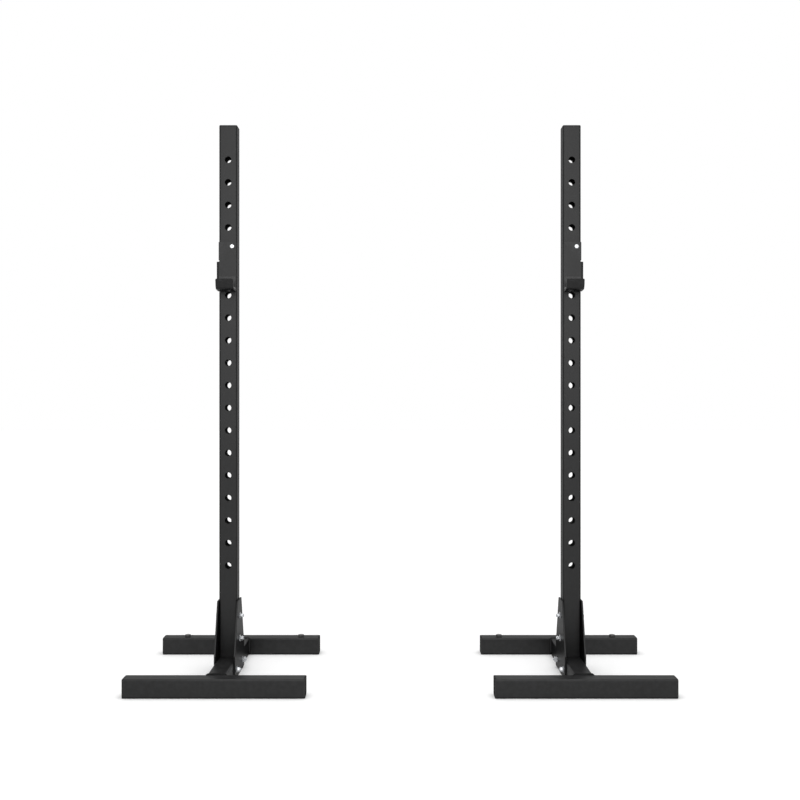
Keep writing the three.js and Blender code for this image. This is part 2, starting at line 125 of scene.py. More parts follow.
def rectangle(left, bottom, right, top):
    return [Vector((left, bottom)), Vector((right, bottom)), Vector((right, top)), Vector((left, top))]


def squareOutline(centre, reach, radius):
    box = rectangle(centre[0] - reach, centre[1] - reach, centre[0] + reach, centre[1] + reach)
    return roundedOutline(box, radius)


# A strip of sheet metal bent round each corner of its outer path
def bentOutline(path, thickness, insideRadius):
    firstRun = path[1] - path[0]
    secondRun = path[2] - path[1]
    turn = 1 if firstRun.x * secondRun.y - firstRun.y * secondRun.x > 0 else -1

    def inward(start, end):
        run = (end - start).normalized()
        return Vector((-run.y, run.x)) * (turn * thickness)

    outsideRadius = insideRadius + thickness
    outside = [path[0]]
    inside = [path[0] + inward(path[0], path[1])]
    for index in range(1, len(path) - 1):
        centre, arc = filletAt(path[index - 1], path[index], path[index + 1], outsideRadius, bendSteps)
        outside += arc
        inside += [centre.lerp(point, insideRadius / outsideRadius) for point in arc]
    outside.append(path[-1])
    inside.append(path[-1] + inward(path[-2], path[-1]))
    return outside + inside[::-1]


# Meshes

axisPoint = {
    "x": lambda u, v, along: (along, u, v),
    "y": lambda u, v, along: (u, along, v),
    "z": lambda u, v, along: (u, v, along),
}
mergeReach = 0.002 * mm  # points closer than this are one point
softenedAngle = 33  # degrees; an edge flatter than this isn't rounded


def addPiece(name, vertices, faces):
    mesh = bpy.data.meshes.new(name)
    mesh.from_pydata(vertices, [], faces)
    work = bmesh.new()
    work.from_mesh(mesh)
    bmesh.ops.remove_doubles(work, verts=work.verts, dist=mergeReach)
    bmesh.ops.recalc_face_normals(work, faces=work.faces)
    work.to_mesh(mesh)
    work.free()
    piece = bpy.data.objects.new(name, mesh)
    bpy.context.scene.collection.objects.link(piece)
    return piece


# Rings of equal count joined one after the other; each ring is a list of 3-D points
def loftPiece(name, rings, closed=True):
    count = len(rings[0])
    vertices = [tuple(point) for ring in rings for point in ring]
    faces = []
    for level in range(len(rings) - 1):
        for index in range(count):
            low, nextLow = level * count + index, level * count + (index + 1) % count
            faces.append((low, nextLow, nextLow + count, low + count))
    if closed:
        faces.append(tuple(range(count))[::-1])
        faces.append(tuple(range((len(rings) - 1) * count, len(rings) * count)))
    return addPiece(name, vertices, faces)


def prismPiece(name, outline, axis, low, high):
    place = axisPoint[axis]
    return loftPiece(name, [[place(p.x, p.y, along) for p in outline] for along in (low, high)])


def rodPiece(name, centre, radius, axis, low, high, count=48):
    return prismPiece(name, circleOutline(centre, radius, count), axis, low, high)


# A hollow length; the two outlines have the same count
def tubePiece(name, outer, inner, axis, low, high):
    place = axisPoint[axis]
    rings = [[place(p.x, p.y, along) for p in outline]
             for outline, along in ((outer, low), (outer, high), (inner, high), (inner, low), (outer, low))]
    return loftPiece(name, rings, closed=False)


def bakeModifiers(piece):
    graph = bpy.context.evaluated_depsgraph_get()
    mesh = bpy.data.meshes.new_from_object(piece.evaluated_get(graph))
    old = piece.data
    piece.modifiers.clear()
    piece.data = mesh
    bpy.data.meshes.remove(old)
    mesh.name = piece.name


def removePiece(piece):
    mesh = piece.data
    bpy.data.objects.remove(piece)
    bpy.data.meshes.remove(mesh)


def mergePieces(name, parts):
    work = bmesh.new()
    for part in parts:
        work.from_mesh(part.data)
    mesh = bpy.data.meshes.new(name)
    work.to_mesh(mesh)
    work.free()
    for part in parts:
        removePiece(part)
    piece = bpy.data.objects.new(name, mesh)
    bpy.context.scene.collection.objects.link(piece)
    return piece


def combine(piece, others, operation):
    for other in others:
        tool = piece.modifiers.new("combine", "BOOLEAN")
        tool.operation = operation
        tool.solver = "EXACT"
        tool.object = other
        bakeModifiers(piece)
        removePiece(other)


def carve(piece, cutters):
    combine(piece, [mergePieces("cutter", cutters)], "DIFFERENCE")


def softenEdges(piece, width, segments=3):
    bevel = piece.modifiers.new("edges", "BEVEL")
    bevel.width = width
    bevel.segments = segments
    bevel.limit_method = "ANGLE"
    bevel.angle_limit = math.radians(softenedAngle)
    bevel.use_clamp_overlap = True
    bevel.miter_outer = "MITER_ARC"
    bakeModifiers(piece)


def smoothShade(piece, sharpAngle):
    for face in piece.data.polygons:
        face.use_smooth = True
    piece.data.set_sharp_from_angle(angle=math.radians(sharpAngle))
    weighted = piece.modifiers.new("normals", "WEIGHTED_NORMAL")
    weighted.keep_sharp = True
    weighted.mode = "FACE_AREA_WITH_ANGLE"


# Material nodes. Patterns are laid out in the frame's own metres, so a grain has its real size.


def nodeTree(name):
    material = bpy.data.materials.new(name)
    material.use_nodes = True
    tree = material.node_tree
    return material, tree, tree.nodes["Principled BSDF"]


def addNode(tree, kind, inputs=None, **settings):
    node = tree.nodes.new(kind)
    for key, value in settings.items():
        setattr(node, key, value)
    for key, value in (inputs or {}).items():
        if isinstance(value, bpy.types.NodeSocket):
            tree.links.new(value, node.inputs[key])
        else:
            node.inputs[key].default_value = value
    return node


def objectPlace(tree):
    return addNode(tree, "ShaderNodeTexCoord").outputs["Object"]


def noiseValue(tree, place, scale, detail, roughness=0.5):
    return addNode(tree, "ShaderNodeTexNoise", {
        "Vector": place, "Scale": scale, "Detail": detail, "Roughness": roughness,
    }).outputs["Fac"]


def mapValue(tree, value, fromLow, fromHigh, toLow, toHigh):
    return addNode(tree, "ShaderNodeMapRange", {
        "Value": value, "From Min": fromLow, "From Max": fromHigh, "To Min": toLow, "To Max": toHigh,
    }, clamp=True).outputs["Result"]


def mathValue(tree, operation, first, second):
    return addNode(tree, "ShaderNodeMath", {0: first, 1: second}, operation=operation).outputs[0]


# The mix node's colour sockets go by number, because its other kinds have the same names
def mixColour(tree, factor, first, second):
    return addNode(tree, "ShaderNodeMix", {0: factor, 6: first, 7: second}, data_type="RGBA").outputs[2]


def bumpNormal(tree, height, distance, normal=None):
    inputs = {"Height": height, "Distance": distance, "Strength": 1.0}
    if normal is not None:
        inputs["Normal"] = normal
    return addNode(tree, "ShaderNodeBump", inputs).outputs["Normal"]


def stretchedPlace(tree, place, scale):
    return addNode(tree, "ShaderNodeMapping", {"Vector": place, "Scale": scale}).outputs["Vector"]


def edgeMask(tree, spread):
    pointiness = addNode(tree, "ShaderNodeNewGeometry").outputs["Pointiness"]
    return mapValue(tree, pointiness, *spread)


def upwardMask(tree, spread):
    normal = addNode(tree, "ShaderNodeNewGeometry").outputs["True Normal"]
    height = addNode(tree, "ShaderNodeSeparateXYZ", {0: normal}).outputs["Z"]
    return mapValue(tree, height, *spread)


# Gloss that is full where a surface is seen square on and falls away where it is seen edge-on
def linkGloss(tree, shader, values):
    edgeOn = addNode(tree, "ShaderNodeLayerWeight", {"Blend": 0.5}).outputs["Facing"]
    cosine = mathValue(tree, "SUBTRACT", 1.0, edgeOn)  # at a blend of one half
    facing = mathValue(tree, "POWER", cosine, values["grazingFalloff"])
    level = mathValue(tree, "MULTIPLY", facing, values["specular"])
    tree.links.new(level, shader.inputs["Specular IOR Level"])


# Finishes. A noise is its scale for each metre, its detail and, where it isn't one half, its roughness.
# A spread, a roughness or a mask is where its pattern starts and ends, and the values it gives there.

# Black powder coat: a satin skin with a shallow orange peel, faint dust on what faces up that also serves as
# painted light on the tops, rubbed edges

powderCoat = {
    "deep": (0.0056, 0.0057, 0.0059, 1),
    "light": (0.0070, 0.0071, 0.0073, 1),
    # Dust colour, light enough that it also paints the up-facing tops lighter: painted top light
    "dust": (0.030, 0.030, 0.030, 1),
    "rubbed": (0.026, 0.026, 0.027, 1),
    "broadNoise": (9.0, 3.0),
    "broadSpread": (0.35, 0.65, 0.0, 1.0),
    "fineNoise": (60.0, 4.0, 0.6),
    "dustSlope": (0.6, 1.0, 0.0, 1.0),  # by how squarely a face looks up
    "dustSpread": (0.34, 0.70, 0.22, 0.55),
    "dustRoughness": 0.12,  # added where the dust is full
    "rubbedEdge": (0.52, 0.60, 0.0, 1.0),  # by how pointed the surface is
    "rubbedSpread": (0.40, 0.65, 0.0, 0.7),
    "roughness": (0.35, 0.65, 0.355, 0.385),
    "peelNoise": (420.0, 1.5),  # about 2.4 mm from crest to crest
    "peelHeight": 0.022 * mm,
    "grainNoise": (2600.0, 2.0),
    "grainHeight": 0.004 * mm,
    "specular": 0.31,
    "grazingFalloff": 1.6,  # the coat's fine texture shades itself where it is seen edge-on
}


def makePowderCoat():
    coat = powderCoat
    material, tree, shader = nodeTree("blackPowderCoat")
    place = objectPlace(tree)
    broad = noiseValue(tree, place, *coat["broadNoise"])
    fine = noiseValue(tree, place, *coat["fineNoise"])
    colour = mixColour(tree, mapValue(tree, broad, *coat["broadSpread"]), coat["deep"], coat["light"])
    # Dust on what faces up, which also paints those faces lighter as painted top light
    dust = mathValue(tree, "MULTIPLY", upwardMask(tree, coat["dustSlope"]),
                     mapValue(tree, fine, *coat["dustSpread"]))
    colour = mixColour(tree, dust, colour, coat["dust"])
    rubbed = mathValue(tree, "MULTIPLY", edgeMask(tree, coat["rubbedEdge"]),
                       mapValue(tree, fine, *coat["rubbedSpread"]))
    colour = mixColour(tree, rubbed, colour, coat["rubbed"])
    tree.links.new(colour, shader.inputs["Base Color"])
    patchy = mathValue(tree, "ADD", mapValue(tree, fine, *coat["roughness"]),
                       mathValue(tree, "MULTIPLY", dust, coat["dustRoughness"]))
    tree.links.new(patchy, shader.inputs["Roughness"])
    linkGloss(tree, shader, coat)
    peel = bumpNormal(tree, noiseValue(tree, place, *coat["peelNoise"]), coat["peelHeight"])
    grain = bumpNormal(tree, noiseValue(tree, place, *coat["grainNoise"]), coat["grainHeight"], peel)
    tree.links.new(grain, shader.inputs["Normal"])
    return material


# Moulded black plastic of the end caps: a fine spark-eroded texture

capPlastic = {
    "deep": (0.0075, 0.0075, 0.0078, 1),
    "light": (0.0125, 0.0125, 0.0128, 1),
    "broadNoise": (40.0, 3.0),
    "broadSpread": (0.3, 0.7, 0.0, 1.0),
    "grainNoise": (1500.0, 3.0, 0.7),
    "grainHeight": 0.02 * mm,
    "roughness": (0.3, 0.7, 0.48, 0.62),
    "specular": 0.45,
    "grazingFalloff": 2.2,
}


def makeCapPlastic():
    material, tree, shader = nodeTree("capPlastic")
    place = objectPlace(tree)
    grain = noiseValue(tree, place, *capPlastic["grainNoise"])
    broad = mapValue(tree, noiseValue(tree, place, *capPlastic["broadNoise"]), *capPlastic["broadSpread"])
    colour = mixColour(tree, broad, capPlastic["deep"], capPlastic["light"])
    tree.links.new(colour, shader.inputs["Base Color"])
    tree.links.new(mapValue(tree, grain, *capPlastic["roughness"]), shader.inputs["Roughness"])
    linkGloss(tree, shader, capPlastic)
    tree.links.new(bumpNormal(tree, grain, capPlastic["grainHeight"]), shader.inputs["Normal"])
    return material


# Smooth black sheet plastic of the liner and pad, with long faint scuffs

sheetPlastic = {
    "deep": (0.0085, 0.0085, 0.0090, 1),
    "scuffed": (0.028, 0.028, 0.029, 1),
    "scuffStretch": (1500.0, 30.0, 30.0),
    "scuffNoise": (1.0, 3.0, 0.6),
    "scuffSpread": (0.55, 0.75, 0.0, 1.0),
    "scuffHeight": 0.01 * mm,
    "patchNoise": (45.0, 3.0),
    "patchSpread": (0.4, 0.7, 0.0, 0.8),
    "roughness": (0.3, 0.7, 0.36, 0.5),
}


def makeSheetPlastic():
    sheet = sheetPlastic
    material, tree, shader = nodeTree("sheetPlastic")
    place = objectPlace(tree)
    streak = noiseValue(tree, stretchedPlace(tree, place, sheet["scuffStretch"]), *sheet["scuffNoise"])
    patch = noiseValue(tree, place, *sheet["patchNoise"])
    worn = mathValue(tree, "MULTIPLY", mapValue(tree, streak, *sheet["scuffSpread"]),
                     mapValue(tree, patch, *sheet["patchSpread"]))
    colour = mixColour(tree, worn, sheet["deep"], sheet["scuffed"])
    tree.links.new(colour, shader.inputs["Base Color"])
    tree.links.new(mapValue(tree, patch, *sheet["roughness"]), shader.inputs["Roughness"])
    tree.links.new(bumpNormal(tree, streak, sheet["scuffHeight"]), shader.inputs["Normal"])
    return material


# Bright zinc plate, with a clouded passivated tint

zincPlate = {
    "clear": (0.62, 0.63, 0.645, 1),
    "clouded": (0.53, 0.545, 0.565, 1),
    "cloudNoise": (190.0, 4.0, 0.6),
    "cloudSpread": (0.35, 0.65, 0.0, 1.0),
    "roughness": (0.3, 0.7, 0.17, 0.25),
    "grainNoise": (3000.0, 2.0),
    "grainHeight": 0.004 * mm,
    "metallic": 1.0,
}

# Black oxide of the foot bolts: dark steel with a dry, slightly brown cast

blackOxide = {
    "clear": (0.085, 0.085, 0.087, 1),
    "clouded": (0.120, 0.113, 0.106, 1),
    "cloudNoise": (220.0, 4.0, 0.6),
    "cloudSpread": (0.4, 0.7, 0.0, 1.0),
    "roughness": (0.3, 0.7, 0.3, 0.46),
    "grainNoise": (2500.0, 2.0),
    "grainHeight": 0.006 * mm,
    "metallic": 0.6,
}


def makeMetal(name, metal):
    material, tree, shader = nodeTree(name)
    place = objectPlace(tree)
    cloud = noiseValue(tree, place, *metal["cloudNoise"])
    colour = mixColour(tree, mapValue(tree, cloud, *metal["cloudSpread"]), metal["clear"], metal["clouded"])
    tree.links.new(colour, shader.inputs["Base Color"])
    tree.links.new(mapValue(tree, cloud, *metal["roughness"]), shader.inputs["Roughness"])
    grain = noiseValue(tree, place, *metal["grainNoise"])
    tree.links.new(bumpNormal(tree, grain, metal["grainHeight"]), shader.inputs["Normal"])
    shader.inputs["Metallic"].default_value = metal["metallic"]
    return material


finishes = {
    "powder_coat": makePowderCoat(),
    "end_cap": makeCapPlastic(),
    "liner": makeSheetPlastic(),
    "zinc": makeMetal("zincPlate", zincPlate),
    "black_oxide": makeMetal("blackOxide", blackOxide),
}
print("stage: finishes mixed")

# CAD nodes that stay as they are keep their shape and take the same finishes

for part in frame["record"]["subparts"]:
    node = frame["nodes"][part["node"]]
    node.data.materials.clear()
    node.data.materials.append(finishes[part["material_slot"]])

# Pieces. Each one is built where its CAD node is, and stands for that node.

overrun = 2 * mm  # how far a cutter reaches past what it cuts


def nodeBox(name, part):
    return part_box(f"{name}_{part}")


def nodeCentre(name, part):
    low, high = nodeBox(name, part)
    return (low + high) / 2


def dress(piece, body, slotName, *replacedNodes, sharpAngle=40):
    piece.data.materials.clear()
    piece.data.materials.append(finishes[slotName])
    smoothShade(piece, sharpAngle)
    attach(piece, body)
    if replacedNodes:
        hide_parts(*replacedNodes)


tube = {"wall": 3 * mm, "corner": 6 * mm, "edge": 0.5 * mm}


def hollowTube(name, axis, low, high):
    centre = (low + high) / 2
    across = {"x": (centre.y, centre.z), "y": (centre.x, centre.z), "z": (centre.x, centre.y)}[axis]
    reach = (high - low)[1 if axis == "x" else 0] / 2
    outer = squareOutline(across, reach, tube["corner"])
    inner = squareOutline(across, reach - tube["wall"], tube["corner"] - tube["wall"])
    index = "xyz".index(axis)
    return tubePiece(name, outer, inner, axis, low[index], high[index])


# Uprights: laser-cut holes at an even pitch, their edges rounded by the coat

upright = {
    "holeWidth": 21 * mm,
    "holePitch": 75 * mm,
    "holeCount": 19,
    "topHoleDrop": 115.5 * mm,
    "holeEdge": 0.8 * mm,
}


def buildUpright(name):
    low, high = nodeBox(name, "upright")
    middle = nodeCentre(name, "upright").x
    piece = hollowTube(f"{name}Upright", "z", low, high)
    topHole = cadBox[1].z - upright["topHoleDrop"]
    heights = [topHole - step * upright["holePitch"] for step in range(upright["holeCount"])]
    front, back = low.y - overrun, high.y + overrun
    carve(piece, [rodPiece("hole", (middle, height), upright["holeWidth"] / 2, "y", front, back)
                  for height in heights])
    softenEdges(piece, upright["holeEdge"])
    dress(piece, "stands", "powder_coat", f"{name}_upright")


# Base tubes. The rear foot's top wall is drilled for the threaded inserts.

insertHole = 16.6 * mm
baseTubes = {"runner": "y", "front_foot": "x", "rear_foot": "x"}


def buildBaseTube(name, part):
    low, high = nodeBox(name, part)
    middle = nodeCentre(name, part).z
    piece = hollowTube(name + part.title().replace("_", ""), baseTubes[part], low, high)
    if part == "rear_foot":
        drills = []
        for spot in ("outer", "inner"):
            bolt = nodeCentre(name, f"rear_foot_{spot}_bolt")
            drills.append(rodPiece("drill", (bolt.x, bolt.y), insertHole / 2, "z", middle, high.z + overrun))
        carve(piece, drills)
    softenEdges(piece, tube["edge"], segments=2)
    dress(piece, "stands", "powder_coat", f"{name}_{part}")


# Weld beads where the runner meets a foot, over both sides and the top

weld = {
    "leg": 4.6 * mm,
    "bulge": 0.75 * mm,
    "ripple": 0.38 * mm,
    "ripplePitch": 2.3 * mm,
    "wander": 0.22 * mm,
    "wanderWaves": ((190, 1.0, 0), (431, 0.6, 1)),  # radians for each metre, share, start in radians
    "step": 0.38 * mm,
    "sink": 0.6 * mm,
    "bottom": 6 * mm,
    "tipShare": 0.02,  # the least distance from the bead's end, as a share of its leg
    "profileSteps": 8,
}


def beadPath(low, high):
    points = [Vector((low.x, weld["bottom"]))]
    for x, z, before, after in (
        (low.x, high.z, Vector((low.x, 0)), Vector((high.x, high.z))),
        (high.x, high.z, Vector((low.x, high.z)), Vector((high.x, 0))),
    ):
        points += filletAt(before, Vector((x, z)), after, tube["corner"], cornerSteps)[1]
    points.append(Vector((high.x, weld["bottom"])))
    return points


def evenPoints(points, step):
    lengths = [0.0]
    for index in range(1, len(points)):
        lengths.append(lengths[-1] + (points[index] - points[index - 1]).length)
    count = max(2, round(lengths[-1] / step))
    spread, index = [], 0
    for number in range(count + 1):
        reach = lengths[-1] * number / count
        while index < len(points) - 2 and lengths[index + 1] < reach:
            index += 1
        share = (reach - lengths[index]) / (lengths[index + 1] - lengths[index])
        spread.append((reach, points[index].lerp(points[index + 1], share)))
    return lengths[-1], spread


# A fillet: one toe on the foot, one on the runner, and a face that swells with each ripple
def beadRing(point, outward, y, away, leg, bulge):
    profile = [(-weld["sink"], -weld["sink"]), (leg, -weld["sink"])]
    for step in range(weld["profileSteps"] + 1):
        share = step / weld["profileSteps"]
        swell = bulge * math.sin(math.pi * share) / math.sqrt(2)
        profile.append((leg * (1 - share) + swell, leg * share + swell))
    profile.append((-weld["sink"], leg))
    return [(point.x + outward.x * u, y + away * v, point.y + outward.y * u) for u, v in profile]


def buildWeld(name, end):
    low, high = nodeBox(name, "runner")
    y, away = (low.y, 1) if end == "Front" else (high.y, -1)
    total, spread = evenPoints(beadPath(low, high), weld["step"])
    rings = []
    for number, (reach, point) in enumerate(spread):
        before = spread[max(0, number - 1)][1]
        after = spread[min(len(spread) - 1, number + 1)][1]
        along = (after - before).normalized()
        outward = Vector((-along.y, along.x))
        taper = min(1.0, math.sqrt(max(weld["tipShare"], min(reach, total - reach) / weld["leg"])))
        wave = abs(math.sin(math.pi * reach / weld["ripplePitch"]))
        wander = weld["wander"] * sum(share * math.sin(reach * rate + start)
                                      for rate, share, start in weld["wanderWaves"])
        bulge = weld["bulge"] - weld["ripple"] * (1 - wave)
        rings.append(beadRing(point, outward, y, away, (weld["leg"] + wander) * taper, bulge * taper))
    dress(loftPiece(f"{name}{end}Weld", rings), "stands", "powder_coat", sharpAngle=60)


# Moulded end caps: a softly crowned flange over a ribbed plug

endCap = {
    "crown": (  # inset and rise of each ring, in mm
        (0.5, 0.0), (0.12, 0.25), (0.12, 2.2), (0.5, 3.1), (1.3, 3.7), (2.6, 3.93), (7.0, 4.0),
    ),
    "leastCorner": 1.5 * mm,
    "overlap": 0.3 * mm,  # of the plug with the flange
    "plugReach": 26.5 * mm,
    "plugWall": 2.5 * mm,
    "plugDepth": 22 * mm,
    "plugCorner": 5 * mm,
    "plugTaper": 1 * mm,
    "taperLength": 2 * mm,
    "ribs": (5.0, 11.0, 17.0),  # mm below the flange
    "ribReach": 26.95 * mm,
    "ribHeight": 1.2 * mm,
    "ribSlope": 0.2 * mm,  # how far inside the plug's face the rib's lower edge ends
    "ribRoot": 1 * mm,
}


def buildCap(name, part, axis, direction):
    low, high = nodeBox(name, part)
    centre = nodeCentre(name, part)
    across = (centre.y, centre.z) if axis == "x" else (centre.x, centre.y)
    index = "xyz".index(axis)
    reach = (high.z - low.z) / 2 if axis == "x" else (high.x - low.x) / 2
    tip = high[index] if direction > 0 else low[index]
    seat = tip - direction * endCap["crown"][-1][1] * mm
    place = axisPoint[axis]

    def ringAt(ringReach, corner, rise):
        return [place(p.x, p.y, seat + direction * rise) for p in squareOutline(across, ringReach, corner)]

    rings = [ringAt(reach - inset * mm, max(tube["corner"] - inset * mm, endCap["leastCorner"]), rise * mm)
             for inset, rise in endCap["crown"]]
    piece = loftPiece(name + part.title().replace("_", ""), rings)
    outside, corner = endCap["plugReach"], endCap["plugCorner"]
    wall, taper = endCap["plugWall"], endCap["plugTaper"]
    root, depth = endCap["overlap"], endCap["plugDepth"]
    plug = loftPiece("plug", [
        ringAt(outside, corner, root),
        ringAt(outside, corner, endCap["taperLength"] - depth),
        ringAt(outside - taper, corner - taper, -depth),
        ringAt(outside - wall, corner - wall, -depth),
        ringAt(outside - wall, corner - wall, root),
        ringAt(outside, corner, root),
    ], closed=False)
    ribs = []
    for ribDepth in endCap["ribs"]:
        top, bottom = -ribDepth * mm, -ribDepth * mm - endCap["ribHeight"]
        ribs.append(loftPiece("rib", [
            ringAt(endCap["ribReach"], corner, top),
            ringAt(outside - endCap["ribSlope"], corner, bottom),
            ringAt(outside - endCap["ribRoot"], corner, bottom),
            ringAt(outside - endCap["ribRoot"], corner, top),
            ringAt(endCap["ribReach"], corner, top),
        ], closed=False))
    combine(piece, [plug, *ribs], "UNION")
    dress(piece, "stands", "end_cap", f"{name}_{part}")


# Gusset plates

gusset = {
    "topReach": 40 * mm,
    "shoulderHeight": 78 * mm,
    "corner": 5 * mm,
    "hole": 11 * mm,
    "edge": 0.7 * mm,
}
clampSpots = ("upper", "lower", "front", "rear")


def buildGusset(name, which):
    low, high = nodeBox(name, f"{which}_gusset")
    outline = roundedOutline([
        Vector((low.y, low.z)), Vector((high.y, low.z)), Vector((high.y, gusset["shoulderHeight"])),
        Vector((gusset["topReach"], high.z)), Vector((-gusset["topReach"], high.z)),
        Vector((low.y, gusset["shoulderHeight"])),
    ], gusset["corner"])
    piece = prismPiece(f"{name}{which.title()}Gusset", outline, "x", low.x, high.x)
    holes = []
    for spot in clampSpots:
        bolt = nodeCentre(name, f"gusset_{spot}_bolt")
        holes.append(rodPiece("hole", (bolt.y, bolt.z), gusset["hole"] / 2, "x",
                              low.x - overrun, high.x + overrun))
    carve(piece, holes)
    softenEdges(piece, gusset["edge"])
    dress(piece, "stands", "powder_coat", f"{name}_{which}_gusset")


# Fasteners, made along Z with the seat at height zero

fastenerCount = 36  # points round a ring, a multiple of six
dishDepth = 0.35 * mm
hexCrown = {
    "slope": 30,  # degrees
    "slopeShare": 0.97,  # the share of the half width at which the slope reaches full height
    "topShare": 0.955,  # the share of the half width that is flat on top
}
thread = {
    "depth": 0.6,  # for each unit of pitch
    "ringsPerTurn": 6,
    "steepness": 1.5,
    "crest": 0.25,  # taken off the swing, so that crest and root are flat
    "tipDepth": 1.15,  # how deep the chamfer at the tip starts, for each unit of the thread's depth
}


def ringOf(radiusAt, height):
    ring = []
    for step in range(fastenerCount):
        turn = 2 * math.pi * step / fastenerCount
        radius = radiusAt(turn) if callable(radiusAt) else radiusAt
        rise = height(turn) if callable(height) else height
        ring.append(Vector((radius * math.cos(turn), radius * math.sin(turn), rise)))
    return ring


def hexReach(turn, across):
    flat = math.pi / 3
    return across / 2 / math.cos(turn % flat - flat / 2)


def hexRings(across, base, height):
    def crownHeight(turn):
        beyond = hexReach(turn, across) - across / 2 * hexCrown["slopeShare"]
        return height - beyond * math.tan(math.radians(hexCrown["slope"]))

    return [
        ringOf(lambda turn: hexReach(turn, across), base),
        ringOf(lambda turn: hexReach(turn, across), crownHeight),
        ringOf(across / 2 * hexCrown["topShare"], height),
    ]


# The shallow dish in the top of a bolt's head
def dishRings(across, height, rimShare, floorShare):
    return [ringOf(across / 2 * rimShare, height), ringOf(across / 2 * floorShare, height - dishDepth)]


def threadRings(radius, pitch, start, end):
    depth = thread["depth"] * pitch
    count = max(2, round(abs(end - start) / pitch * thread["ringsPerTurn"]))
    rings = []
    for number in range(count + 1):
        height = start + (end - start) * number / count

        def reachAt(turn, height=height):
            phase = (height / pitch - turn / (2 * math.pi)) % 1
            groove = min(1.0, max(0.0, abs(2 * phase - 1) * thread["steepness"] - thread["crest"]))
            tip = radius - thread["tipDepth"] * depth + abs(height - end)
            return min(radius - depth * groove, tip)

        rings.append(ringOf(reachAt, height))
    return rings


def placeFastener(piece, matrix):
    piece.data.transform(matrix)
    piece.data.update()


clampBolt = {
    "radius": 5 * mm,
    "pitch": 1.5 * mm,
    "across": 15 * mm,
    "rim": 10.75 * mm,
    "rimSteps": ((0.5, 0.0), (0.0, 0.35), (0.0, 0.9), (0.35, 1.2)),  # inset and rise, in mm
    "flangeHeight": 2.2 * mm,
    "flangeRoot": (0.35 * mm, 0.15 * mm),  # out from the hexagon, and down from the flange's height
    "headHeight": 9 * mm,
    "dish": (0.72, 0.64),
    "threadLength": 30 * mm,
    "runOut": ((0.5, 0.4), (0.0, 1.2)),  # inset and rise above the thread, in mm
    "nutHeight": 10 * mm,
    "nutSlack": 0.12 * mm,
    "nutSeatChamfer": (0.6 * mm, 0.5 * mm),
    "nutTopChamfer": 0.7 * mm,
    "boltTurns": (5, 22, 39, 56),  # degrees, as each one came to rest
    "nutTilts": (20, 17, 22, 19),  # degrees that the flat towards the cups' side looks up
}


def flangeRings():
    out, down = clampBolt["flangeRoot"]
    rings = [ringOf(clampBolt["rim"] - inset * mm, rise * mm) for inset, rise in clampBolt["rimSteps"]]
    rings.append(ringOf(lambda turn: hexReach(turn, clampBolt["across"]) + out,
                        clampBolt["flangeHeight"] - down))
    return rings


def clampBoltPiece(name, length):
    radius, across, height = clampBolt["radius"], clampBolt["across"], clampBolt["headHeight"]
    threadStart = clampBolt["threadLength"] - length
    rings = threadRings(radius, clampBolt["pitch"], threadStart, -length)[::-1]
    rings += [ringOf(radius - inset * mm, threadStart + rise * mm) for inset, rise in clampBolt["runOut"]]
    rings.append(ringOf(radius, 0.0))
    rings += flangeRings() + hexRings(across, clampBolt["flangeHeight"], height)
    rings += dishRings(across, height, *clampBolt["dish"])
    return loftPiece(name, rings)


def clampNutPiece(name):
    bore = clampBolt["radius"] + clampBolt["nutSlack"]
    top, topChamfer = clampBolt["nutHeight"], clampBolt["nutTopChamfer"]
    seatWidth, seatRise = clampBolt["nutSeatChamfer"]
    rings = [ringOf(bore, seatRise), ringOf(bore + seatWidth, 0.0)]
    rings += flangeRings() + hexRings(clampBolt["across"], clampBolt["flangeHeight"], top)
    rings += [ringOf(bore + topChamfer, top), ringOf(bore, top - topChamfer), ringOf(bore, seatRise)]
    return loftPiece(name, rings, closed=False)


def acrossStand(place, direction, twist):
    turned = Matrix.Rotation(direction * math.pi / 2, 4, "Y")
    return Matrix.Translation(place) @ turned @ Matrix.Rotation(math.radians(twist), 4, "Z")


def buildClampBolts(name, side):
    outermost = 0 if side < 0 else 1  # which end of a box along X is away from the other stand
    outerSeat = nodeBox(name, "outer_gusset")[outermost].x
    innerSeat = nodeBox(name, "inner_gusset")[1 - outermost].x
    for spot, turn, tilt in zip(clampSpots, clampBolt["boltTurns"], clampBolt["nutTilts"]):
        low, high = nodeBox(name, f"gusset_{spot}_bolt")
        centre = nodeCentre(name, f"gusset_{spot}_bolt")
        length = (high.x - low.x) - clampBolt["headHeight"]
        bolt = clampBoltPiece(f"{name}{spot.title()}ClampBolt", length)
        placeFastener(bolt, acrossStand((outerSeat, centre.y, centre.z), side, turn))
        dress(bolt, "stands", "zinc", f"{name}_gusset_{spot}_bolt")
        nut = clampNutPiece(f"{name}{spot.title()}ClampNut")
        placeFastener(nut, acrossStand((innerSeat, centre.y, centre.z), -side, side * tilt))
        dress(nut, "stands", "zinc", f"{name}_gusset_{spot}_nut")


footBolt = {
    "radius": 6 * mm,
    "pitch": 1.75 * mm,
    "across": 18 * mm,
    "washerFace": 0.5 * mm,
    "washerShare": 0.93,  # of the half width
    "dish": (0.7, 0.62),
    "neck": 1 * mm,  # from the seat to the thread
    "shank": 26 * mm,
}


